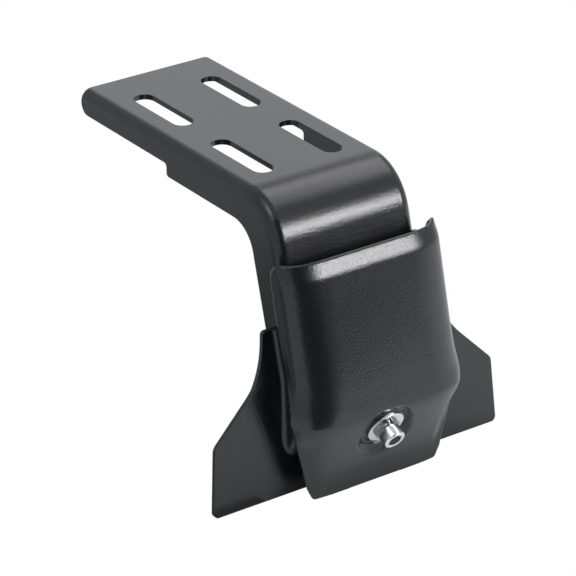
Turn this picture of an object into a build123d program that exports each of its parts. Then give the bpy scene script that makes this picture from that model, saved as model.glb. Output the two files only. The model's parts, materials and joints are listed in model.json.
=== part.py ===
"""Roof bar foot: a pressed steel bracket that stands in a vehicle's rain gutter and is held there by a clamp.

X points outward, away from the roof and towards the clamp. Y runs along the gutter, Z is up. The origin is
the middle of the four slots, on the top face where the roof bar lies. Millimetres.
"""

import os
from math import cos, hypot, radians, sin, sqrt, tan

from build123d import *

os.makedirs("parts", exist_ok=True)

# Bracket: one channel of folded sheet, a flat plate that bends down into a leaning leg
bracket_sheet = 2.5
bracket_width = 72.0
bracket_fold = 5.5  # outer radius of the long folds
tail_length = 72.0  # slot centre to the rear end
nose_length = 57.3  # slot centre to the start of the bend
bend_radius = 26.0  # outer radius of the bend into the leg
leg_lean = 15.5  # degrees from upright, foot outward
leg_length = 66.0  # straight part of the leg
rear_flange = 11.1  # height of the side flanges behind the step
front_flange = 17.0  # and in front of it, on the near side
far_flange = 16.3  # and on the far side
leg_flange = 19.5  # depth of the flanges along the leg
flange_step = -2.0  # X of the near flange's step
far_step = 4.0  # and of the far flange's
step_round = 1.6
crook_radius = 15.0  # hollow corner of the flanges behind the bend
tail_round = 5.0
leg_end_round = 6.0

# Slots in the top plate
slot_width = 10.0
slot_length = 41.0
slot_spacing_x = 62.0
slot_spacing_y = 36.4

# Wing plate: a top hat pressing over the leg, whose wings stand in the gutter
wing_sheet = 2.0
hat_gap = 0.1  # between the leg and the hat that is welded over it
hat_fold = 4.0  # outer radius of the hat's front corners
hat_top = 11.5  # from the end of the bend down to the hat's top edge
hat_wall = 9.8  # depth of the side walls above the wings
wing_setback = 9.2  # front of the upper wings behind the front of the leg
wing_top_z = -56.5
wing_kink_z = -79.0  # the wings lean with the leg above this and stand nearly upright below it
wing_lean = 3.3
wing_bottom_z = -132.7
neck_width = 88.4
elbow_reach = 3.8  # the sloping shoulder starts this far out from the neck's top
elbow_z = -74.3
elbow_round = 45.0
shoulder_width = 148.4
shoulder_z = -100.7
shoulder_round = 5.0
foot_width = 153.0
foot_round = 2.4
wing_fold = 2.6  # hollow radius between walls and wings
neck_round = 2.0
wall_round = 3.0
pocket_round = 3.0
pocket_foot_z = -115.3  # where the pocket's sloping floor meets the wings

# Clamp screw, square to the pocket's floor
screw_droop = 29.0  # degrees below level
screw_up_floor = 20.6  # along the floor from its foot to the screw
seat_standoff = 10.7  # from the pocket's floor out to the clamp's screw seat
thread_size = 6.0
thread_clearance = 0.05
screw_length = 25.0
head_width = 10.0
head_height = 6.0
head_edge = 0.5
socket_across = 5.0
socket_depth = 3.2
flat_washer_width = 18.0
flat_washer_sheet = 1.6
flat_washer_bore = 6.4
washer_edge = 0.3
lock_washer_width = 11.8
lock_washer_sheet = 1.6
lock_washer_bore = 6.3
lock_washer_split = 1.0
nut_across = 10.0
nut_height = 5.0
passing_hole = 7.0

# Clamp: a pressed jaw, a leaning channel that opens out into a flat toe
clamp_sheet = 2.0
clamp_clearance = 1.8  # between the clamp's flanges and the hat's side walls
clamp_lean = 13.5
clamp_front_x = 99.2  # face of the clamp at its top
clamp_top_z = -20.7
clamp_flange = 16.0  # depth of the flanges
fold_depth = 10.0  # the folds are rounder on the face than on the flange
fold_width = 20.0
fold_width_knee = 12.0
lip_length = 10.0  # the top of the face bends back
lip_reach = 2.2
lip_drop = 1.5  # its edge lies below the flanges' tops
heel_round = 8.0  # upper rear corners of the flanges
channel_length = 45.0  # down the face, from the top to where the flanges start to open
knee_z = -95.0
knee_flare = 6.9  # the knee's tips stand out from the top of the toe
knee_tip_z = -91.5
knee_corner_width = 76.0
toe_start_z = -115.0
toe_x = 104.5
toe_top_width = 77.0
toe_taper = 2.4
toe_nip_z = -126.5
toe_nip = 2.8  # the corners are nipped in further below this
toe_bottom_z = -132.2
toe_round = 2.0
toe_corner_width = 44.0
seat_width = 20.4
seat_wall = 1.2
knee_ease = 0.5
toe_ease = 1.2
toe_overlap = 2.0  # flat toe's start below the end of the slope

# Side view directions and points, as (x, z)
leg_turn = 90 - leg_lean
leg_down = (sin(radians(leg_lean)), -cos(radians(leg_lean)))
leg_back = (-cos(radians(leg_lean)), -sin(radians(leg_lean)))
leg_start = (
    nose_length + bend_radius * sin(radians(leg_turn)),
    bend_radius * cos(radians(leg_turn)) - bend_radius,
)


def moved(point, direction, distance):
    """A side view point moved along a direction."""
    return point[0] + direction[0] * distance, point[1] + direction[1] * distance


def on_leg(down, back):
    """The point a way down the leg and a way behind its front face."""
    return moved(moved(leg_start, leg_down, down), leg_back, back)


def leg_x(z, back=0.0):
    """X at a height, on the line a way behind the leg's front face."""
    return leg_start[0] + (leg_start[1] - z) * tan(radians(leg_lean)) - back / cos(radians(leg_lean))


def meet(point_a, direction_a, point_b, direction_b):
    """Where two side view lines cross."""
    cross = direction_a[0] * direction_b[1] - direction_a[1] * direction_b[0]
    away = (point_b[0] - point_a[0], point_b[1] - point_a[1])
    return moved(point_a, direction_a, (away[0] * direction_b[1] - away[1] * direction_b[0]) / cross)


def skin_depth(x, z):
    """Depth of a side view point under the bracket's outer path."""
    down = (x - leg_start[0]) * leg_down[0] + (z - leg_start[1]) * leg_down[1]
    if x <= nose_length:
        return -z
    if down >= 0:
        return (x - leg_start[0]) * leg_back[0] + (z - leg_start[1]) * leg_back[1]
    return bend_radius - hypot(x - nose_length, z + bend_radius)


def long_edges(part, inset):
    """The edges along the bracket's path where its web meets its flanges."""
    half = bracket_width / 2 - inset
    return part.edges().filter_by(
        lambda edge: abs(abs((edge @ 0.5).Y) - half) < 0.01
        and abs(skin_depth((edge @ 0.5).X, (edge @ 0.5).Z) - inset) < 0.01
    )


def bend_corner(inset):
    """Where the top line and the leg line would cross, both moved in."""
    return nose_length + (bend_radius - inset) * tan(radians(leg_turn / 2)), -inset


# Room inside the bracket's channel
with BuildPart() as channel_room:
    with BuildSketch(Plane.XZ):
        with BuildLine():
            FilletPolyline(
                (-tail_length - 5, -bracket_sheet),
                bend_corner(bracket_sheet),
                on_leg(leg_length + 5, bracket_sheet),
                on_leg(leg_length + 5, leg_flange + 8),
                (-tail_length - 5, on_leg(leg_length + 5, leg_flange + 8)[1]),
                radius=[0, bend_radius - bracket_sheet, 0, 0, 0],
                close=True,
            )
        make_face()
    extrude(amount=bracket_width / 2 - bracket_sheet, both=True)
    fillet(long_edges(channel_room, bracket_sheet), bracket_fold - bracket_sheet)

with BuildPart() as bracket:
    for step_x, depth, side in ((flange_step, front_flange, 1), (far_step, far_flange, -1)):
        with BuildSketch(Plane.XZ):
            with BuildLine():
                FilletPolyline(
                    (-tail_length, 0),
                    bend_corner(0),
                    on_leg(leg_length, 0),
                    on_leg(leg_length, leg_flange),
                    meet((0, -depth), (1, 0), on_leg(0, leg_flange), leg_down),
                    (step_x, -depth),
                    (step_x, -rear_flange),
                    (-tail_length, -rear_flange),
                    radius=[0, bend_radius, 0, leg_end_round, crook_radius, step_round, step_round, tail_round],
                    close=True,
                )
            make_face()
        extrude(amount=side * bracket_width / 2)
    fillet(long_edges(bracket, 0), bracket_fold)
    add(channel_room.part, mode=Mode.SUBTRACT)
    with BuildSketch(Plane.XY):
        with GridLocations(slot_spacing_x, slot_spacing_y, 2, 2):
            SlotOverall(slot_length, slot_width)
    extrude(amount=-bracket_sheet - 1, mode=Mode.SUBTRACT)
bracket.part.label = "bracket"
export_step(bracket.part, "parts/bracket.step")

# Lines of the wing plate in side view
hat_front = hat_gap + wing_sheet
hat_half = bracket_width / 2 + hat_gap + wing_sheet
outward = (cos(radians(screw_droop)), -sin(radians(screw_droop)))
up_floor = (sin(radians(screw_droop)), cos(radians(screw_droop)))
wing_down = (sin(radians(wing_lean)), -cos(radians(wing_lean)))
wing_back = (-cos(radians(wing_lean)), -sin(radians(wing_lean)))
wing_kink = (leg_x(wing_kink_z, wing_setback), wing_kink_z)
wing_top = (leg_x(wing_top_z, wing_setback), wing_top_z)
wing_kink_back = meet(moved(wing_top, leg_back, wing_sheet), leg_down, moved(wing_kink, wing_back, wing_sheet), wing_down)


def wing_at(z, back):
    """Point at a height on the lower wings, a way behind their front."""
    return meet(moved(wing_kink, wing_back, back), wing_down, (0, z), (1, 0))


blank_top_z = leg_start[1]
pocket_foot = wing_at(pocket_foot_z, 0)
floor_back = moved(pocket_foot, outward, -wing_sheet)
pocket_corner = meet(on_leg(0, -hat_front), leg_down, pocket_foot, up_floor)
room_corner = meet(on_leg(0, -hat_gap), leg_down, floor_back, up_floor)
room_foot = meet(floor_back, up_floor, wing_kink_back, wing_down)
wall_top_back = on_leg(hat_top, hat_wall - hat_front)
wall_low_back = meet(wall_top_back, leg_down, (0, wing_top_z), (1, 0))


def wing_x(z):
    """X of the wings' front at a height."""
    return leg_x(z, wing_setback) if z > wing_kink_z else wing_at(z, 0)[0]


def side_edges(part, half, line_x):
    """The long edges of a pressing's side walls that lie on a line of the side view."""
    return part.edges().filter_by(
        lambda edge: abs(abs((edge @ 0.5).Y) - half) < 0.01
        and abs((edge @ 0.5).X - line_x((edge @ 0.5).Z)) < 0.05
        and edge.length > 10
    )


# Room inside the hat, open to the rear
with BuildPart() as hat_room:
    with BuildSketch(Plane.XZ):
        with BuildLine():
            Polyline(
                (leg_x(0, -hat_gap), 0),
                room_corner,
                room_foot,
                (room_foot[0] - bracket_width, room_foot[1]),
                (room_foot[0] - bracket_width, 0),
                close=True,
            )
        make_face()
    extrude(amount=hat_half - wing_sheet, both=True)
    fillet(side_edges(hat_room, hat_half - wing_sheet, lambda z: leg_x(z, -hat_gap)), hat_fold - wing_sheet)

with BuildPart() as wing_plate:
    with BuildSketch(Plane.XZ):
        with BuildLine():
            Polyline(
                (leg_x(blank_top_z, wing_setback), blank_top_z),
                wing_kink,
                wing_at(wing_bottom_z, 0),
                wing_at(wing_bottom_z, wing_sheet),
                wing_kink_back,
                (leg_x(blank_top_z, wing_setback + wing_sheet), blank_top_z),
                close=True,
            )
        make_face()
    extrude(amount=foot_width / 2, both=True)
    with BuildSketch(Plane.XZ):
        with BuildLine():
            FilletPolyline(
                (leg_x(blank_top_z, -hat_front), blank_top_z),
                pocket_corner,
                pocket_foot,
                wing_at(pocket_foot_z, wing_sheet / 2),
                moved(wing_kink, wing_back, wing_sheet / 2),
                (leg_x(blank_top_z, wing_setback + wing_sheet / 2), blank_top_z),
                radius=[0, pocket_round, 0, 0, 0, 0],
                close=True,
            )
        make_face()
    extrude(amount=hat_half, both=True)
    fillet(side_edges(wing_plate, hat_half, lambda z: leg_x(z, -hat_front)), hat_fold)
    fillet(side_edges(wing_plate, hat_half, wing_x), wing_fold)
    with BuildSketch(Plane.YZ):
        with BuildLine():
            FilletPolyline(
                (-hat_half, blank_top_z),
                (hat_half, blank_top_z),
                (hat_half, wing_top_z),
                (neck_width / 2, wing_top_z),
                (neck_width / 2 + elbow_reach, elbow_z),
                (shoulder_width / 2, shoulder_z),
                (foot_width / 2, wing_bottom_z),
                (-foot_width / 2, wing_bottom_z),
                (-shoulder_width / 2, shoulder_z),
                (-neck_width / 2 - elbow_reach, elbow_z),
                (-neck_width / 2, wing_top_z),
                (-hat_half, wing_top_z),
                radius=[0, 0, 0, neck_round, elbow_round, shoulder_round, foot_round]
                + [foot_round, shoulder_round, elbow_round, neck_round, 0],
                close=True,
            )
        make_face()
    extrude(amount=leg_start[0] + leg_length, both=True, mode=Mode.INTERSECT)
    with BuildSketch(Plane.XZ):
        with BuildLine():
            FilletPolyline(
                on_leg(hat_top, -hat_front - hat_wall),
                wall_top_back,
                wall_low_back,
                (wall_low_back[0] - leg_flange, wing_top_z),
                (wall_low_back[0] - leg_flange, 0),
                (leg_x(0, -hat_front - hat_wall), 0),
                radius=[0, wall_round, 0, 0, 0, 0],
                close=True,
            )
        make_face()
    extrude(amount=bracket_width, both=True, mode=Mode.SUBTRACT)
    add(hat_room.part, mode=Mode.SUBTRACT)
    screw_root = moved(pocket_foot, up_floor, screw_up_floor)
    with Locations(Plane((screw_root[0], 0, screw_root[1]), x_dir=(0, 1, 0), z_dir=(outward[0], 0, outward[1]))):
        Cylinder(passing_hole / 2, 8, mode=Mode.SUBTRACT)
wing_plate.part.label = "wing_plate"
export_step(wing_plate.part, "parts/wing_plate.step")


def across_screw(out):
    """Plane square to the clamp screw, a way out from the pocket's floor."""
    x, z = moved(screw_root, outward, out)
    return Plane((x, 0, z), x_dir=(0, 1, 0), z_dir=(outward[0], 0, outward[1]))


# Nut, welded behind the pocket's floor
with BuildPart() as nut:
    with BuildSketch(across_screw(-wing_sheet)):
        RegularPolygon(nut_across / 2, 6, major_radius=False)
        Circle(thread_size / 2 + thread_clearance, mode=Mode.SUBTRACT)
    extrude(amount=-nut_height)
nut.part.label = "nut"
export_step(nut.part, "parts/nut.step")

with BuildPart() as flat_washer:
    with BuildSketch(across_screw(seat_standoff)):
        Circle(flat_washer_width / 2)
        Circle(flat_washer_bore / 2, mode=Mode.SUBTRACT)
    extrude(amount=flat_washer_sheet)
    fillet(flat_washer.edges().filter_by(GeomType.CIRCLE).group_by(SortBy.RADIUS)[-1], washer_edge)
flat_washer.part.label = "flat_washer"
export_step(flat_washer.part, "parts/flat_washer.step")

lock_washer_out = seat_standoff + flat_washer_sheet
with BuildPart() as lock_washer:
    with BuildSketch(across_screw(lock_washer_out)):
        Circle(lock_washer_width / 2)
        Circle(lock_washer_bore / 2, mode=Mode.SUBTRACT)
        with Locations((0, lock_washer_width / 2)):
            Rectangle(lock_washer_split, lock_washer_width, rotation=15, mode=Mode.SUBTRACT)
    extrude(amount=lock_washer_sheet)
lock_washer.part.label = "lock_washer"
export_step(lock_washer.part, "parts/lock_washer.step")

head_out = lock_washer_out + lock_washer_sheet
with BuildPart() as clamp_screw:
    with BuildSketch(across_screw(head_out)):
        Circle(thread_size / 2)
    extrude(amount=-screw_length)
    chamfer(clamp_screw.edges().filter_by(GeomType.CIRCLE).sort_by(Axis.X)[0], 0.6)
    with BuildSketch(across_screw(head_out)):
        Circle(head_width / 2)
    extrude(amount=head_height)
    fillet(clamp_screw.edges().filter_by(GeomType.CIRCLE).sort_by(Axis.X)[-1], head_edge)
    with BuildSketch(across_screw(head_out + head_height)):
        RegularPolygon(socket_across / 2, 6, major_radius=False)
    extrude(amount=-socket_depth, mode=Mode.SUBTRACT)
clamp_screw.part.label = "clamp_screw"
export_step(clamp_screw.part, "parts/clamp_screw.step")

# Clamp directions and lines
clamp_half = hat_half + clamp_clearance + clamp_sheet
clamp_down = (sin(radians(clamp_lean)), -cos(radians(clamp_lean)))
clamp_back = (-cos(radians(clamp_lean)), -sin(radians(clamp_lean)))
clamp_top = (clamp_front_x, clamp_top_z)
channel_end = moved(clamp_top, clamp_down, channel_length)
channel_end_back = moved(channel_end, clamp_back, clamp_flange)
knee_x = clamp_front_x + (clamp_top_z - knee_z) * tan(radians(clamp_lean))
knee_tip_half = toe_top_width / 2 + knee_flare
toe_z = toe_start_z - toe_overlap
seat_radius = seat_width / 2
round_share = 0.55  # control points of a spline that runs as an ellipse does


def soft_least(a, b, ease):
    """The lesser of two values, with the corner between them rounded."""
    return (a + b - sqrt((a - b) ** 2 + 4 * ease**2)) / 2


def blend(a, b, z, z_a, z_b):
    """A value that passes smoothly from a at one height to b at another."""
    part = min(max((z_a - z) / (z_a - z_b), 0), 1)
    return a + (b - a) * part * part * (3 - 2 * part)


def face_x(z):
    """X of the clamp's face: it leans out to the knee, slopes back from there and ends in the toe."""
    leaning = clamp_front_x + (clamp_top_z - z) * tan(radians(clamp_lean))
    sloping = knee_x + (toe_x - knee_x) * (knee_z - z) / (knee_z - toe_start_z)
    return -soft_least(-soft_least(leaning, sloping, knee_ease), -toe_x, toe_ease)


def tip(z):
    """Free edge of the flange at a height, as (x, y)."""
    leaning = channel_end_back[0] + (channel_end_back[1] - z) * tan(radians(clamp_lean))
    x = blend(leaning, toe_x, z, channel_end_back[1], knee_tip_z)
    if z > knee_tip_z:
        return x, blend(clamp_half, knee_tip_half, z, channel_end_back[1], knee_tip_z)
    share = (knee_tip_z - z) / (knee_tip_z - toe_start_z)
    return x, knee_tip_half - knee_flare * share


def corner(z):
    """Front corner of the section at a height, before it is rounded, as (x, y)."""
    if z > knee_z:
        return face_x(z), blend(clamp_half, knee_corner_width / 2, z, channel_end[1], knee_z)
    return face_x(z), blend(knee_corner_width, toe_corner_width, z, knee_z, toe_start_z) / 2


def band_side(free, sharp, width, inset):
    """One face of the bent sheet on the +Y side: free edge, then the fold's start, two controls and end."""
    run = hypot(sharp[0] - free[0], sharp[1] - free[1])
    way = ((sharp[0] - free[0]) / run, (sharp[1] - free[1]) / run)
    inside = (way[1], -way[0])
    share = 1 - inside[0]
    half_turn = sqrt((2 - share) / share)
    middle = (sharp[0] + inset * (inside[0] - 1) / share, sharp[1] + inset * inside[1] / share)
    depth = fold_depth - inset * half_turn
    width = width - inset * half_turn
    rest = 1 - round_share
    return (
        (free[0] + inside[0] * inset, free[1] + inside[1] * inset),
        (middle[0] - way[0] * depth, middle[1] - way[1] * depth),
        (middle[0] - way[0] * depth * rest, middle[1] - way[1] * depth * rest),
        (middle[0], middle[1] - width * rest),
        (middle[0], middle[1] - width),
    )


def band(free, sharp, width):
    """Section of the bent sheet: round the outside from one free edge to the other, and back inside."""
    with BuildSketch(mode=Mode.PRIVATE) as section:
        with BuildLine():
            edges = []
            for inset in (0, clamp_sheet):
                edge, *fold = band_side(free, sharp, width, inset)
                for side in (1, -1):
                    points = [(x, side * y) for x, y in (edge, *fold)]
                    Line(points[0], points[1])
                    Bezier(*points[1:])
                Line(fold[-1], (fold[-1][0], -fold[-1][1]))
                edges.append(edge)
            for side in (1, -1):
                Line((edges[0][0], side * edges[0][1]), (edges[1][0], side * edges[1][1]))
        make_face()
    return section.sketch


def across(front, forward):
    """Plane across the clamp through a side view point, with its local x forward and its normal upward."""
    return Plane((front[0], 0, front[1]), x_dir=(forward[0], 0, forward[1]), z_dir=(-forward[1], 0, forward[0]))


def across_clamp(down):
    """Plane square to the clamp's channel, a way down its face."""
    return across(moved(clamp_top, clamp_down, down), (-clamp_back[0], -clamp_back[1]))


def jaw_section(tip_z, corner_z):
    """Plane and section of the opening jaw, through its free edges at one height and front corners at another."""
    (tip_x, tip_y), (corner_x, corner_y) = tip(tip_z), corner(corner_z)
    depth = hypot(corner_x - tip_x, corner_z - tip_z)
    forward = ((corner_x - tip_x) / depth, (corner_z - tip_z) / depth)
    width = blend(fold_width, fold_width_knee, corner_z, channel_end[1], knee_z)
    return across((corner_x, corner_z), forward), band((-depth, tip_y), (0, corner_y), width)


with BuildPart() as clamp_plate:
    # Top of the channel, bent back
    for share in (0, 0.33, 0.67, 1):
        with BuildSketch(across_clamp(lip_length * share)):
            add(band((-clamp_flange, clamp_half), (-lip_reach * (1 - share) ** 2, clamp_half), fold_width))
    loft()
    forward = (-clamp_back[0], 0, -clamp_back[1])
    with BuildSketch(Plane((clamp_top[0], 0, clamp_top[1]), x_dir=forward, z_dir=(0, -1, 0))):
        with Locations((-clamp_flange - heel_round, heel_round)):
            Rectangle(2 * heel_round, 2 * heel_round, align=(Align.MIN, Align.MAX))
        with Locations((-clamp_flange + heel_round, -heel_round)):
            Circle(heel_round, mode=Mode.SUBTRACT)
        with BuildLine():
            Polyline(
                (-fold_depth, 0),
                (-fold_depth / 2, -lip_drop),
                (fold_depth, -lip_drop),
                (fold_depth, lip_drop),
                (-fold_depth, lip_drop),
                close=True,
            )
        make_face()
    extrude(amount=2 * clamp_half, both=True, mode=Mode.SUBTRACT)

    # Leaning channel
    channel = band((-clamp_flange, clamp_half), (0, clamp_half), fold_width)
    with BuildSketch(across_clamp(channel_length)):
        add(channel)
    extrude(amount=channel_length - lip_length)

    # Flanges opening out to the knee, then the slope from the knee to the toe
    with BuildSketch(across_clamp(channel_length)):
        add(channel)
    for share in (0.25, 0.5, 0.75, 1):
        plane, section = jaw_section(
            channel_end_back[1] + (knee_tip_z - channel_end_back[1]) * share,
            channel_end[1] + (knee_tip_z - channel_end[1]) * share,
        )
        with BuildSketch(plane):
            add(section)
    loft()
    for share in (0, 0.2, 0.4, 0.6, 0.8, 1):
        z = knee_tip_z + (toe_z - knee_tip_z) * share
        plane, section = jaw_section(z, z)
        with BuildSketch(plane):
            add(section)
    loft()

    # Flat toe
    with BuildSketch(plane):
        add(section)
    extrude(amount=toe_bottom_z - toe_z)
    toe_top_half = tip(toe_z)[1]
    toe_nip_half = toe_top_half - toe_taper
    with BuildSketch(Plane.YZ):
        with Locations((0, toe_z)):
            Rectangle(4 * toe_top_half, 2 * (toe_z - toe_bottom_z), align=(Align.CENTER, Align.MAX))
        with BuildLine():
            FilletPolyline(
                (toe_top_half, toe_z),
                (toe_nip_half, toe_nip_z),
                (toe_nip_half - toe_nip, toe_bottom_z),
                (toe_nip - toe_nip_half, toe_bottom_z),
                (-toe_nip_half, toe_nip_z),
                (-toe_top_half, toe_z),
                radius=[0, toe_round, toe_round, toe_round, toe_round, 0],
                close=True,
            )
        make_face(mode=Mode.SUBTRACT)
    extrude(amount=2 * toe_x, mode=Mode.SUBTRACT)

    # Round seat for the screw, pressed into the slope below the knee
    with BuildSketch(across_screw(seat_standoff - clamp_sheet)):
        Circle(seat_radius + seat_wall)
    extrude(amount=clamp_sheet - seat_wall)
    with BuildSketch(across_screw(seat_standoff - clamp_sheet)):
        Circle(seat_radius)
    extrude(amount=clamp_sheet)
    with BuildSketch(across_screw(seat_standoff)):
        Circle(seat_radius)
    extrude(amount=seat_radius, mode=Mode.SUBTRACT)
    with BuildSketch(across_screw(seat_standoff)):
        Circle(passing_hole / 2)
    extrude(amount=-2 * clamp_sheet, mode=Mode.SUBTRACT)
clamp_plate.part.label = "clamp_plate"
export_step(clamp_plate.part, "parts/clamp_plate.step")
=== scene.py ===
# %% [markdown]
# # Roof bar foot
# A roof bar stands on four feet like this one. Each is a few pieces of pressed steel sheet under a
# black powder coat, drawn together by one bright screw. The shapes and sizes come from the packed
# CAD model, which is loaded as a fixed frame. This script gives those shapes their finish, their
# small real-world detail, the light and the camera.

# %% Load the frame
import json
import math

import numpy as np

import bmesh
import bpy
from mathutils import Matrix, Vector
from mathutils.bvhtree import BVHTree

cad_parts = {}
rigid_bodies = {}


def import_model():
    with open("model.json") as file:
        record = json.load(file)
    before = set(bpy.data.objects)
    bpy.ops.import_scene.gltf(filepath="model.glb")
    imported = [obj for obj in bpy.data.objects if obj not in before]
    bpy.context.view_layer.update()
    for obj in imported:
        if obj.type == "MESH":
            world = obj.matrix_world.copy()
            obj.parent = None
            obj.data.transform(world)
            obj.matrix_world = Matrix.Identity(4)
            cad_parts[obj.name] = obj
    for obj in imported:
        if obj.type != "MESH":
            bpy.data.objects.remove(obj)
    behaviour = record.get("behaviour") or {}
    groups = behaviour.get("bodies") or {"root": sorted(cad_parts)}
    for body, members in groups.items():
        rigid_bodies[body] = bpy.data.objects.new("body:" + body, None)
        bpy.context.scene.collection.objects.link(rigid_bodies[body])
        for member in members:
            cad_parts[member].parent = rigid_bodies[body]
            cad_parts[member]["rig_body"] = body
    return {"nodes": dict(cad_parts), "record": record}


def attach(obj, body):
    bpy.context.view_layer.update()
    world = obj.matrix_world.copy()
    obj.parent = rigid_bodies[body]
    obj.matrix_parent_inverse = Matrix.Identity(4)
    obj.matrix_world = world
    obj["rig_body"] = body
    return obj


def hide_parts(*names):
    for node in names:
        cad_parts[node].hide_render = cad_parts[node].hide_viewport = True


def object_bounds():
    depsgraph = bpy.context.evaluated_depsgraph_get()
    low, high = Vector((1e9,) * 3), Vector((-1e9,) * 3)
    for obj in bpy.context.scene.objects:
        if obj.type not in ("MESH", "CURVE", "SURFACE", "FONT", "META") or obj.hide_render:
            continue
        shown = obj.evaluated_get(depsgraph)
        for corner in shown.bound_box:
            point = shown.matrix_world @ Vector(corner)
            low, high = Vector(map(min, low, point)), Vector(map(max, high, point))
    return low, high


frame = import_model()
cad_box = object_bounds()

MM = 0.001
print("nodes", sorted(frame["nodes"]))
print("box", [tuple(round(v, 4) for v in corner) for corner in cad_box])

# %% [markdown]
# ## Camera
# The photograph was taken with a long lens from the front left, a little above the foot, so that
# lines that are parallel on the foot stay nearly parallel in the picture. The camera is placed by
# its position and by the direction from the object back to it. It was held a third of a degree out
# of level, so the picture's own right is given too.

# %% Camera
def placed(name, data):
    """An object with this data, linked to the scene."""
    made = bpy.data.objects.new(name, data)
    bpy.context.scene.collection.objects.link(made)
    return made


camera_place = Vector((1.1030, -0.7447, 0.5767))
camera_back = Vector((0.7343, -0.5140, 0.4434)).normalized()
camera_right = Vector((0.5754, 0.8179, -0.0047))
camera_up = camera_back.cross(camera_right).normalized()
camera_right = camera_up.cross(camera_back)

camera_data = bpy.data.cameras.new("camera")
camera_data.lens = 204.9
camera_data.sensor_width = 36
camera_data.clip_start = 0.05
camera = placed("camera", camera_data)
camera.matrix_world = Matrix((
    (camera_right.x, camera_up.x, camera_back.x, camera_place.x),
    (camera_right.y, camera_up.y, camera_back.y, camera_place.y),
    (camera_right.z, camera_up.z, camera_back.z, camera_place.z),
    (0, 0, 0, 1),
))
bpy.context.scene.camera = camera
print("camera", tuple(round(v, 3) for v in camera_place))

# %% [markdown]
# ## Shader maths
# A finish is a small formula over the surface. Written as nodes one by one it is hard to read, so
# one class wraps a socket and lets Python's own operators add the Math nodes.

# %% A socket that can be added, multiplied and compared
class Value:
    def __init__(self, tree, socket):
        self.tree = tree
        self.socket = socket

    def math(self, operation, *others):
        inputs = {index: other for index, other in enumerate((self,) + others)}
        return self.tree.node("ShaderNodeMath", {"operation": operation}, inputs)

    def __add__(self, other):
        return self.math("ADD", other)

    def __sub__(self, other):
        return self.math("SUBTRACT", other)

    def __rsub__(self, other):
        return self.tree.node("ShaderNodeMath", {"operation": "SUBTRACT"}, {0: other, 1: self})

    def __mul__(self, other):
        return self.math("MULTIPLY", other)

    __radd__ = __add__
    __rmul__ = __mul__


class Finish:
    """A node material for one finish of the foot."""

    def __init__(self, name, **constants):
        self.material = bpy.data.materials.new(name)
        self.material.use_nodes = True
        self.nodes = self.material.node_tree.nodes
        self.links = self.material.node_tree.links
        self.shader = self.nodes["Principled BSDF"]
        for socket, value in constants.items():
            self.shader.inputs[socket].default_value = value
        self.place = self.node("ShaderNodeTexCoord", {}, {}, "Object")

    def node(self, kind, settings, inputs, output=0):
        made = self.nodes.new(kind)
        for name, value in settings.items():
            setattr(made, name, value)
        for name, value in inputs.items():
            if isinstance(value, Value):
                self.links.new(value.socket, made.inputs[name])
            else:
                made.inputs[name].default_value = value
        return Value(self, made.outputs[output])

    def noise(self, size, detail):
        """Noise whose features are about this size, in metres."""
        inputs = {"Vector": self.place, "Scale": 1 / size, "Detail": detail}
        return self.node("ShaderNodeTexNoise", {}, inputs, "Fac")

    def vector(self, operation, inputs, output):
        return self.node("ShaderNodeVectorMath", {"operation": operation}, inputs, output)

    def mix(self, share, a, b):
        """A colour between two. Inputs 6 and 7 and output 2 are the node's colour sockets."""
        return self.node(
            "ShaderNodeMix", {"data_type": "RGBA"}, {"Factor": share, 6: a, 7: b}, 2,
        )

    def feed(self, **sockets):
        for socket, value in sockets.items():
            self.links.new(value.socket, self.shader.inputs[socket.replace("_", " ")])

    def bump(self, height, distance, strength=1.0):
        inputs = {"Height": height, "Distance": distance, "Strength": strength}
        self.feed(Normal=self.node("ShaderNodeBump", {}, inputs, "Normal"))


# %% [markdown]
# ## Powder coat
# Powder is sprayed dry and melted in an oven. It flows out into a skin with a soft gloss and the
# slightly dimpled surface known as orange peel, about a millimetre from dimple to dimple, with a
# finer grain on top. The dimples hardly show on the even grey of the flats, but they break up the
# edge of every highlight. So the finish is a dark smooth coat, and the work is in its bump.

# %% Powder coat finish
coat_dark = (0.0042, 0.0046, 0.0058, 1)
coat_light = (0.0062, 0.0068, 0.0084, 1)
powder = Finish("powder_coat", Metallic=0.0, IOR=1.5)
dimples = powder.noise(0.001, detail=1.0)
grain = powder.noise(0.0006, detail=2.0)
drift = powder.noise(0.02, detail=2.0)
powder.feed(
    Base_Color=powder.mix(drift, coat_dark, coat_light),
    Roughness=drift * 0.05 + grain * 0.06 + 0.15,
)
powder.bump(dimples * 0.5 + grain * 0.5, distance=0.00013)
print("powder coat", len(powder.nodes), "nodes")

# %% [markdown]
# ## Zinc plate
# The screw, its washers and the nut are bought parts with bright zinc on them: metal through and
# through to the eye, with fine handling marks that only change how sharp the reflections are. The
# lock washer is of duller spring steel. The inside of the screw's socket is painted a darker grey:
# painted shade, standing in for the light that is reflected many times in it on its way out. A
# point is in the socket when it lies near the screw's axis and between the socket's floor and its
# mouth.

# %% Zinc finish
screw_slant = math.radians(29)
screw_place = (0.11087, 0.0, -0.10247)
out_of_seat = (math.cos(screw_slant), 0.0, -math.sin(screw_slant))
socket_reach, socket_floor, socket_mouth = 0.0035, 0.0058, 0.0091
zinc_dull = (0.60, 0.605, 0.62, 1)
zinc_bright = (0.72, 0.72, 0.73, 1)
# Painted shade for the inside of the screw's socket.
socket_painted_shade = (0.26, 0.26, 0.27, 1)

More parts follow.
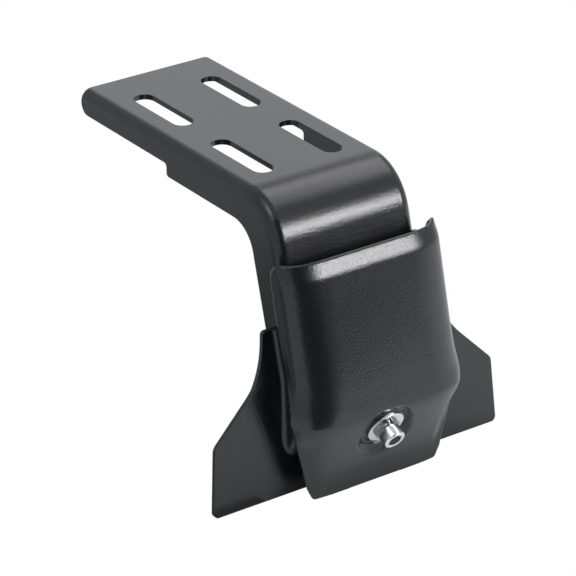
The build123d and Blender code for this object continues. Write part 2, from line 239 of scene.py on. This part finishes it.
zinc = Finish("zinc_plate", Metallic=1.0)
marks = zinc.noise(0.0008, detail=4.0)
from_seat = zinc.vector("SUBTRACT", {0: zinc.place, 1: screw_place}, "Vector")
along = zinc.vector("DOT_PRODUCT", {0: from_seat, 1: out_of_seat}, "Value")
reach = zinc.vector("LENGTH", {0: from_seat}, "Value")
off_axis = (reach * reach - along * along).math("SQRT")
in_socket = (
    off_axis.math("LESS_THAN", socket_reach)
    * along.math("LESS_THAN", socket_mouth)
    * along.math("GREATER_THAN", socket_floor)
)
zinc.feed(
    # Inside the socket the zinc colour is replaced by painted shade.
    Base_Color=zinc.mix(in_socket, zinc.mix(marks, zinc_dull, zinc_bright), socket_painted_shade),
    Roughness=marks * 0.12 + 0.16,
)
zinc.bump(marks, distance=0.00002, strength=0.3)
print("zinc", len(zinc.nodes), "nodes")

# %% Lock washer finish
spring_dull = (0.20, 0.20, 0.21, 1)
spring_bright = (0.34, 0.34, 0.35, 1)
spring = Finish("spring_zinc", Metallic=1.0)
rub = spring.noise(0.0006, detail=3.0)
spring.feed(
    Base_Color=spring.mix(rub, spring_dull, spring_bright),
    Roughness=rub * 0.14 + 0.2,
)

# %% Finishes on the CAD nodes
finish_of = {"powder_coat": powder.material, "zinc_plate": zinc.material}
slot_of = {part["node"]: part["material_slot"] for part in frame["record"]["subparts"]}
for name, cad_object in frame["nodes"].items():
    cad_object.data.materials.clear()
    cad_object.data.materials.append(finish_of[slot_of[name]])
print("finishes", powder.material.name, zinc.material.name, spring.material.name)

# %% [markdown]
# ## Edges of the sheet
# No cut edge of a real sheet is knife sharp: the press rounds it and the powder rounds it further,
# and that small round is what catches the light as a thin bright line. A copy of each CAD piece is
# joined up into one skin, its flat faces are cleared of their triangles, and a Bevel modifier
# rounds what is still sharp.

# %% Pieces with softened edges
same_point = 0.002 * MM
flat_within = math.radians(0.3)
sharp_from = math.radians(32)
edge_widths = {
    "bracket": 0.35, "wing_plate": 0.3, "flat_washer": 0.1, "lock_washer": 0.1, "nut": 0.12,
}


def shade_smooth(mesh):
    for polygon in mesh.polygons:
        polygon.use_smooth = True


def softened(node, width):
    """A copy of a CAD node with its sharp edges rounded, standing for the node."""
    source = frame["nodes"][node]
    work = bmesh.new()
    work.from_mesh(source.data)
    bmesh.ops.remove_doubles(work, verts=work.verts, dist=same_point)
    bmesh.ops.dissolve_limit(
        work, angle_limit=flat_within, verts=work.verts, edges=work.edges,
        use_dissolve_boundaries=False,
    )
    mesh = bpy.data.meshes.new(node + "_softened")
    work.to_mesh(mesh)
    work.free()
    shade_smooth(mesh)
    dull = node == "lock_washer"
    mesh.materials.append(spring.material if dull else finish_of[slot_of[node]])
    piece = placed(node + "_softened", mesh)
    bevel = piece.modifiers.new("edge", "BEVEL")
    bevel.width = width
    bevel.segments = 2
    bevel.limit_method = "ANGLE"
    bevel.angle_limit = sharp_from
    bevel.use_clamp_overlap = True
    piece.modifiers.new("shade", "WEIGHTED_NORMAL")
    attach(piece, source["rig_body"])
    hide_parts(node)
    print(node, len(mesh.polygons), "faces")


for node, width in edge_widths.items():
    softened(node, width * MM)

# %% [markdown]
# ## The clamp screw
# Its head is turned on a lathe and its socket is punched with a hexagonal tool. So it is built as
# a stack of rings along its axis, each with its own radius: a round ring has one radius, and a
# ring of the socket has the radius of a hexagon in that direction. Rings that lie close together
# keep an edge crisp but not sharp. The rings run from the middle of the socket's floor up its
# walls, over the rim, down the head and along the core to its end.

# %% Screw head and core
screw_frame = (
    Matrix.Translation(screw_place)
    @ Vector(out_of_seat).to_track_quat("Z", "Y").to_matrix().to_4x4()
)
ring_points = 72


def hexagon(apothem):
    """Radius of a hexagon in a direction."""
    sixth = math.pi / 3
    return lambda angle: apothem / math.cos((angle + sixth / 2) % sixth - sixth / 2)


def stack(name, rings):
    """A closed skin through rings along the screw, each a place on the axis and a radius."""
    made = bmesh.new()
    rows = []
    for along_axis, radius in rings:
        row = []
        for index in range(ring_points):
            angle = 2 * math.pi * index / ring_points
            out = radius(angle) if callable(radius) else radius
            point = Vector((out * math.cos(angle), out * math.sin(angle), along_axis))
            row.append(made.verts.new(screw_frame @ point))
        rows.append(row)
    for row, after in zip(rows, rows[1:]):
        for index in range(ring_points):
            other = (index + 1) % ring_points
            made.faces.new((row[index], row[other], after[other], after[index]))
    made.faces.new(rows[0])
    made.faces.new(rows[-1])
    bmesh.ops.recalc_face_normals(made, faces=made.faces)
    mesh = bpy.data.meshes.new(name)
    made.to_mesh(mesh)
    made.free()
    shade_smooth(mesh)
    mesh.materials.append(zinc.material)
    return placed(name, mesh)


socket_rings = [
    (0.0062, hexagon(0.0001)), (0.0060, hexagon(0.0026)), (0.0061, hexagon(0.0028)),
    (0.0062, hexagon(0.0029)), (0.0088, hexagon(0.0029)), (0.0090, hexagon(0.00298)),
    (0.00915, hexagon(0.0032)),
]
head_rings = [
    (0.0092, 0.0038), (0.0092, 0.0044), (0.00918, 0.0045), (0.0091, 0.00468), (0.00898, 0.00482),
    (0.00882, 0.00492), (0.0086, 0.00498), (0.0084, 0.005), (0.0036, 0.005), (0.0034, 0.00498),
    (0.00325, 0.0049), (0.0032, 0.0047), (0.0032, 0.0030),
]
core_rings = [
    (0.0031, 0.0029), (0.0000, 0.0029), (-0.0010, 0.00285), (-0.0014, 0.0025),
    (-0.0210, 0.0025), (-0.0216, 0.0023), (-0.0218, 0.0019),
]
head = stack("clamp_screw_turned", socket_rings + head_rings + core_rings)
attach(head, frame["nodes"]["clamp_screw"]["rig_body"])
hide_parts("clamp_screw")

# %% [markdown]
# The thread is one ridge that winds round the core, a millimetre further with each turn. That is a
# rule, so Geometry Nodes make it: a spiral for the path, a small triangle for the ridge, and the
# ridge swept along it.

# %% Thread ridge
thread_sizes = {"Turns": 19.0, "Length": 0.019, "Path radius": 0.00255, "Ridge": 0.00045}
thread_start = -0.0207


def built_mesh(holder):
    """The mesh that an object's modifiers build. The object itself is removed."""
    bpy.context.view_layer.update()
    built = holder.evaluated_get(bpy.context.evaluated_depsgraph_get())
    kept = bpy.data.meshes.new_from_object(built)
    bpy.data.objects.remove(holder)
    return kept


def thread_tree():
    tree = bpy.data.node_groups.new("thread_ridge", "GeometryNodeTree")
    for name, value in thread_sizes.items():
        size = tree.interface.new_socket(name, in_out="INPUT", socket_type="NodeSocketFloat")
        size.default_value = value
    tree.interface.new_socket("Geometry", in_out="OUTPUT", socket_type="NodeSocketGeometry")
    given, result = tree.nodes.new("NodeGroupInput"), tree.nodes.new("NodeGroupOutput")
    spiral = tree.nodes.new("GeometryNodeCurveSpiral")
    spiral.inputs["Resolution"].default_value = 24
    triangle = tree.nodes.new("GeometryNodeCurvePrimitiveCircle")
    triangle.inputs["Resolution"].default_value = 3
    sweep = tree.nodes.new("GeometryNodeCurveToMesh")
    sweep.inputs["Fill Caps"].default_value = True
    real = tree.nodes.new("GeometryNodeRealizeInstances")
    finish = tree.nodes.new("GeometryNodeSetMaterial")
    finish.inputs["Material"].default_value = zinc.material
    for start, end in (
        (given.outputs["Turns"], spiral.inputs["Rotations"]),
        (given.outputs["Length"], spiral.inputs["Height"]),
        (given.outputs["Path radius"], spiral.inputs["Start Radius"]),
        (given.outputs["Path radius"], spiral.inputs["End Radius"]),
        (given.outputs["Ridge"], triangle.inputs["Radius"]),
        (spiral.outputs["Curve"], sweep.inputs["Curve"]),
        (triangle.outputs["Curve"], sweep.inputs["Profile Curve"]),
        (sweep.outputs["Mesh"], real.inputs["Geometry"]),
        (real.outputs["Geometry"], finish.inputs["Geometry"]),
        (finish.outputs["Geometry"], result.inputs["Geometry"]),
    ):
        tree.links.new(start, end)
    return tree


holder = placed("thread_holder", bpy.data.meshes.new("thread_holder"))
ridge = holder.modifiers.new("thread", "NODES")
ridge.node_group = thread_tree()
for item in ridge.node_group.interface.items_tree:
    if item.in_out == "INPUT":
        ridge[item.identifier] = thread_sizes[item.name]
mesh = built_mesh(holder)
mesh.transform(screw_frame @ Matrix.Translation((0, 0, thread_start)))
thread = placed("clamp_screw_thread", mesh)
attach(thread, frame["nodes"]["clamp_screw"]["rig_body"])
print("screw", len(head.data.polygons), "faces, thread", len(mesh.polygons), "faces")

# %% [markdown]
# ## The pressed clamp
# The clamp is drawn over a round tool, so nothing on it is flat or sharp. Its CAD skin is rebuilt
# as an even mesh of small squares, which is then pressed a little fuller and relaxed: every point
# moves towards the middle of its neighbours. That rounds the cut edges and lets the folds and the
# knee run into each other as pressed steel does.

# %% Clamp skin
source = frame["nodes"]["clamp_plate"]
squares_object = placed("squares", source.data.copy())
squares = squares_object.modifiers.new("squares", "REMESH")
squares.mode = "VOXEL"
squares.voxel_size = 0.6 * MM
mesh = built_mesh(squares_object)
mesh.name = "clamp_skin"
print("squares", len(mesh.polygons))

# %% [markdown]
# Below the knee the face of the clamp falls away in one soft slope to the toe, with no line across
# it. The shape is worked out as a surface in front of the CAD skin, from soft steps and a softened
# corner instead of sharp ones. Lengths are in millimetres, as in the CAD model.

# %% The slope below the knee
knee_x, knee_z = 117.2, -93.0
toe_x, toe_z = 104.5, -123.0
lean = math.tan(math.radians(13.5))
wide_z, wide_half = -91.5, 45.4
turn_z, turn_half = -115.0, 38.5
end_z, end_half = -132.2, 32.5
corner_ease = 1.2
side_power = 5


def eased(value):
    """0 below 0, 1 above 1, and a smooth step between."""
    value = min(1.0, max(0.0, value))
    return value * value * (3 - 2 * value)


def soft_least(a, b, ease):
    """The lesser of two values, with the corner between them rounded."""
    return (a + b - math.sqrt((a - b) ** 2 + 4 * ease * ease)) / 2


def half_width(z):
    """Half the width of the clamp between its free edges, from the knee down."""
    if z > turn_z:
        down = max(0.0, (wide_z - z) / (wide_z - turn_z))
        return wide_half + (turn_half - wide_half) * down
    return turn_half + (end_half - turn_half) * (turn_z - z) / (turn_z - end_z)


def pressed_x(y, z):
    """X of the pressed face below the knee."""
    leaning = knee_x + (knee_z - z) * lean
    falling = knee_x + (toe_x - knee_x) * (knee_z - z) / (knee_z - toe_z)
    face = -soft_least(-soft_least(leaning, falling, corner_ease), -toe_x, corner_ease)
    out = min(1.0, abs(y) / half_width(z))
    return toe_x + (face - toe_x) * math.sqrt(1 - out ** side_power)


print("slope at mid toe", round(pressed_x(0, (knee_z + toe_z) / 2), 2))

# %% [markdown]
# A ray from the front finds how far forward the skin stands at a point. Where the CAD model's
# channel runs into its jaw there is a faint line across the face, and the mean of a few rays above
# and below takes it out. Above the knee the face is a little crowned, and its top rolls back.

# %% The face above the knee
far_front = 200.0
level_top, level_low, level_fade = -42, -88, 8
level_half, level_half_from, level_half_fade = 39, 33, 6
level_steps = (-9, -6, -3, 0, 3, 6, 9)
crown_rise, crown_top, crown_length, crown_half = 0.7, -30, 63, 36
skin = BVHTree.FromPolygons(
    [vert.co / MM for vert in mesh.vertices], [face.vertices for face in mesh.polygons],
)


def front_x(y, z):
    """X of the skin's face where a ray from the front meets it."""
    hit = skin.ray_cast((far_front, y, z), (-1.0, 0.0, 0.0))[0]
    return hit.x if hit else None


def levelled(y, z):
    """What is left to move so that the face passes smoothly over where the channel ends."""
    share = eased((level_top - z) / level_fade) * eased((z - level_low) / level_fade)
    if share == 0.0 or abs(y) > level_half:
        return 0.0
    row = [front_x(y, z + step) for step in level_steps]
    if None in row:
        return 0.0
    inside = 1 - eased((abs(y) - level_half_from) / level_half_fade)
    return share * inside * (sum(row) / len(row) - row[len(row) // 2])


def crowned(y, z):
    """How far the face is crowned above the knee."""
    height = math.sin(math.pi * min(1.0, max(0.0, (crown_top - z) / crown_length)))
    return crown_rise * height * max(0.0, 1 - (y / crown_half) ** 2)


print("face at the knee", round(front_x(0, knee_z), 2))

# %% [markdown]
# The screw's seat is a dish pressed into the slope, square to the screw. Its floor is left where it
# was pressed. A shallow groove runs about it, deeper above the screw than below, and a wider ring
# leads out to the slope. Distances are measured from the screw along the slanted floor.

# %% The dish round the screw
seat_x, seat_z = 110.87, -102.47
groove_depth, groove_in, groove_out = 0.7, 9.2, 11.6
groove_in_fade, groove_out_fade, groove_less_below = 0.8, 1.6, 0.7
wall_in, wall_out, wall_rim = 9.0, 13.5, 11.8
wall_in_fade, wall_rim_fade = 0.6, 1.2
ring_below, ring_fade, ring_fade_below = 1.6, 2.6, 3.4


def from_seat_to(y, z):
    """Distance from the screw along its seat, and how much of it points down."""
    up = (z - seat_z) / math.cos(screw_slant)
    distance = math.hypot(y, up)
    return distance, max(0.0, -up / max(distance, 0.1))


def groove_at(distance, down, over_floor):
    """Depth of the groove round the seat. Under the dish's wall it takes the wall back too."""
    inner = eased((distance - groove_in) / groove_in_fade)
    outer = 1 - eased((distance - groove_out) / groove_out_fade)
    depth = groove_depth * inner * outer * (1 - groove_less_below * down)
    if wall_in < distance < wall_out:
        wall = eased((distance - groove_in) / wall_in_fade)
        rim = 1 - eased((distance - wall_rim) / wall_rim_fade)
        depth += max(0.0, over_floor) * wall * rim
    return depth


def ring_at(distance, down):
    """0 in the dish and 1 out on the slope."""
    past = distance - groove_out - ring_below * down
    return eased(past / (ring_fade + ring_fade_below * down))


print("groove at its deepest", round(groove_at(10.8, 0.0, 0.0), 2))

# %% [markdown]
# Now every point of the skin is shifted forwards or back with the face in front of it, so the sheet
# keeps its thickness. Only a point close behind the face is ever pressed back: the rear of the
# sheet stays where the CAD model has it, clear of the hat when the clamp is drawn in.

# %% Pressing the skin
roll_back, roll_z, roll_fade = 0.5, -30.5, 5.5
slope_z, slope_fade = -84, 12
edge_from, edge_fade = 0.8, 0.18
front_depth = 0.9


def moved_face(y, z, built_x):
    """How far forward the face moves at a place."""
    crown = crowned(y, z)
    if z > slope_z:
        return levelled(y, z) + crown - roll_back * eased((z - roll_z) / roll_fade)
    floor_x = seat_x + (z - seat_z) * math.tan(screw_slant)
    distance, down = from_seat_to(y, z)
    groove = groove_at(distance, down, built_x - floor_x)
    edge = 1 - eased((abs(y) / half_width(z) - edge_from) / edge_fade)
    slope = ring_at(distance, down) * edge * (pressed_x(y, z) - built_x) - groove
    below = eased((slope_z - z) / slope_fade)
    return below * slope + (1 - below) * (crown if z > knee_z else 0.0)


def shift(x, y, z):
    """How far forward a point of the skin moves."""
    built_x = front_x(y, z)
    if built_x is None:
        return 0.0
    forward = moved_face(y, z, built_x)
    return forward if forward > 0 or x > built_x - front_depth else 0.0


places = np.array([vert.co for vert in mesh.vertices])
shifts = np.array([shift(*place) for place in places / MM])
places[:, 0] += shifts * MM
print("shifted by", round(shifts.min(), 2), "to", round(shifts.max(), 2), "mm")

# %% [markdown]
# Plain relaxing shrinks the free edges of a thin sheet. So each step that pulls the points together
# is followed by one that pushes them apart a little more, which keeps the outline and takes out
# only the ripple.

# %% Relaxing the skin
relax_rounds = 14
relax_pulls = (0.5, -0.51)
edges = np.array([edge.vertices for edge in mesh.edges])
ends = np.concatenate([edges[:, 0], edges[:, 1]])
others = np.concatenate([edges[:, 1], edges[:, 0]])
count = np.bincount(ends, minlength=len(places))[:, None]
for _ in range(relax_rounds):
    for pull in relax_pulls:
        sums = [np.bincount(ends, places[others, axis], len(places)) for axis in range(3)]
        places += pull * (np.stack(sums, axis=1) / count - places)
mesh.vertices.foreach_set("co", places.ravel())
mesh.update()
mesh.materials.clear()
mesh.materials.append(powder.material)
shade_smooth(mesh)
clamp = placed("clamp_skin", mesh)
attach(clamp, source["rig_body"])
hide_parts("clamp_plate")
print("clamp", len(mesh.polygons), "faces", tuple(round(v, 4) for v in clamp.dimensions))

# %% [markdown]
# ## Light and ground
# The foot was photographed on pure white, without a shadow. So the floor is plain white to the
# camera alone, and pale to everything else.

# %% Floor
floor_z = cad_box[0].z
floor_reach = 6.0
floor_mesh = bpy.data.meshes.new("floor")
floor_corners = [(-1, -1), (1, -1), (1, 1), (-1, 1)]
floor_mesh.from_pydata(
    [(x * floor_reach, y * floor_reach, floor_z) for x, y in floor_corners], [], [(0, 1, 2, 3)],
)
floor = placed("floor", floor_mesh)
floor_material = bpy.data.materials.new("floor")
floor_material.use_nodes = True
tree = floor_material.node_tree
shader = tree.nodes["Principled BSDF"]
shader.inputs["Base Color"].default_value = (0.8, 0.8, 0.8, 1)
shader.inputs["Roughness"].default_value = 0.9
shader.inputs["Specular IOR Level"].default_value = 0.0
white = tree.nodes.new("ShaderNodeEmission")
white.inputs["Color"].default_value = (1, 1, 1, 1)
seen = tree.nodes.new("ShaderNodeLightPath")
blend = tree.nodes.new("ShaderNodeMixShader")
tree.links.new(seen.outputs["Is Camera Ray"], blend.inputs["Fac"])
tree.links.new(shader.outputs["BSDF"], blend.inputs[1])
tree.links.new(white.outputs["Emission"], blend.inputs[2])
tree.links.new(blend.outputs["Shader"], tree.nodes["Material Output"].inputs["Surface"])
floor_mesh.materials.append(floor_material)
print("floor at", round(floor_z, 4))

# %% [markdown]
# The world does the same: white to the camera, and a pale, slightly blue light to the foot, which
# gives the black coat its cool grey on the flats.

# %% World
world = bpy.data.worlds.new("world")
bpy.context.scene.world = world
world.use_nodes = True
sky = world.node_tree
background = sky.nodes["Background"]
background.inputs["Color"].default_value = (0.94, 0.965, 1.06, 1)
background.inputs["Strength"].default_value = 0.75
plain = sky.nodes.new("ShaderNodeBackground")
plain.inputs["Color"].default_value = (1, 1, 1, 1)
plain.inputs["Strength"].default_value = 1.0
ray = sky.nodes.new("ShaderNodeLightPath")
choose = sky.nodes.new("ShaderNodeMixShader")
sky.links.new(ray.outputs["Is Camera Ray"], choose.inputs["Fac"])
sky.links.new(background.outputs["Background"], choose.inputs[1])
sky.links.new(plain.outputs["Background"], choose.inputs[2])
sky.links.new(choose.outputs["Shader"], sky.nodes["World Output"].inputs["Surface"])
print("world strength", background.inputs["Strength"].default_value)

# %% [markdown]
# On a dark glossy coat, a lamp is seen before it is felt. A bright narrow soft box in front draws
# the lines of light over the bend and the clamp's top. A long one overhead, one on the left and one
# behind lie along the flats and the sides. The last one, the pool, hangs over the front and doesn't
# show in reflections. Each is given by its direction from the foot and by the angle it fills, which
# is what a reflection shows of it.

# %% Lamps
middle = Vector((0.06, 0, -0.06))


def towards(azimuth, elevation):
    """A direction from the foot, in degrees."""
    turn, rise = math.radians(azimuth), math.radians(elevation)
    return Vector((
        math.cos(turn) * math.cos(rise), math.sin(turn) * math.cos(rise), math.sin(rise),
    ))


def facing(direction, away):
    """The place so far away in a direction, turned to face the foot."""
    turned = direction.to_track_quat("Z", "Y").to_matrix().to_4x4()
    return Matrix.Translation(middle + direction * away) @ turned


def half_span(angle, away):
    """Half of what an angle in degrees spans so far away."""
    return away * math.tan(math.radians(angle / 2))


def lamp(name, azimuth, elevation, width, height, radiance, away=1.6):
    """A soft box in a direction, so wide and so high in degrees as seen from the foot."""
    data = bpy.data.lights.new(name, "AREA")
    data.shape = "RECTANGLE"
    data.size = 2 * half_span(width, away)
    data.size_y = 2 * half_span(height, away)
    data.energy = radiance * math.pi * data.size * data.size_y
    made = placed(name, data)
    made.matrix_world = facing(towards(azimuth, elevation), away)
    print(name, round(data.energy, 2), "watts")
    return made


lamp("front", 28, 22, 24, 15, 19.0)
lamp("overhead", 104, 55, 36, 12, 3.6)
lamp("left", -64, 60, 22, 22, 3.0)
lamp("behind", 148, 27, 34, 24, 0.75)
pool_place = (0.36, 0.2, 0.3)
pool = lamp("pool", 31, 40, 20, 20, 5.0, away=0.7)
pool.matrix_world = Matrix.Translation(pool_place)
pool.visible_glossy = False

# %% [markdown]
# Glossy black shows whatever stands around it. In the photograph the near fold of the clamp and the
# flanges are dark, as if something dark stood there. So there are cards that paint the reflections:
# black ones on the near side paint a dark reflection there, and a grey one stands in front. Grey
# and black ones just over the floor paint shade onto the floor as it is reflected, darker by the
# leg than behind and near black in front. They show in reflections and nowhere else.

# %% Cards
card_lift = 0.0005


def only_reflected(name, corners, tone):
    """A card through four corners that shows in reflections and nowhere else."""
    mesh = bpy.data.meshes.new(name)
    mesh.from_pydata(corners, [], [(0, 1, 2, 3)])
    material = bpy.data.materials.new(name)
    material.use_nodes = True
    shader = material.node_tree.nodes["Principled BSDF"]
    shader.inputs["Base Color"].default_value = (tone, tone, tone, 1)
    shader.inputs["Roughness"].default_value = 1.0
    mesh.materials.append(material)
    made = placed(name, mesh)
    made.visible_camera = False
    made.visible_diffuse = False
    made.visible_shadow = False
    return made


def card(name, azimuth, elevation, width, height, tone, away):
    """A standing card in a direction, so wide and so high in degrees as seen from the foot."""
    x, y = half_span(width, away), half_span(height, away)
    made = only_reflected(name, [(-x, -y, 0), (x, -y, 0), (x, y, 0), (-x, y, 0)], tone)
    made.matrix_world = facing(towards(azimuth, elevation), away)


# Painted dark reflections on the near fold and flanges, and a grey card in front.
card("black_card", -12, 26, 44, 60, 0.005, away=0.62)
card("low_card", 0, 1, 60, 20, 0.005, away=0.6)
card("far_card", 31, 4, 36, 16, 0.35, away=1.1)
# Painted shade of the floor, seen only in reflections: grey behind, darker by the leg, near black
# in front.
for name, tone, corners in (
    ("rear_card", 0.48, [(-0.42, -0.45), (-0.12, -0.45), (-0.12, -0.05), (-0.42, -0.05)]),
    ("leg_card", 0.26, [(-0.12, -0.40), (0.10, -0.40), (0.10, -0.05), (-0.12, -0.05)]),
    ("front_card", 0.02, [(0.19, -0.10), (0.60, -0.36), (0.66, 0.10), (0.19, -0.015)]),
):
    only_reflected(name, [(x, y, floor_z + card_lift) for x, y in corners], tone)

bpy.context.scene.view_settings.view_transform = "Standard"
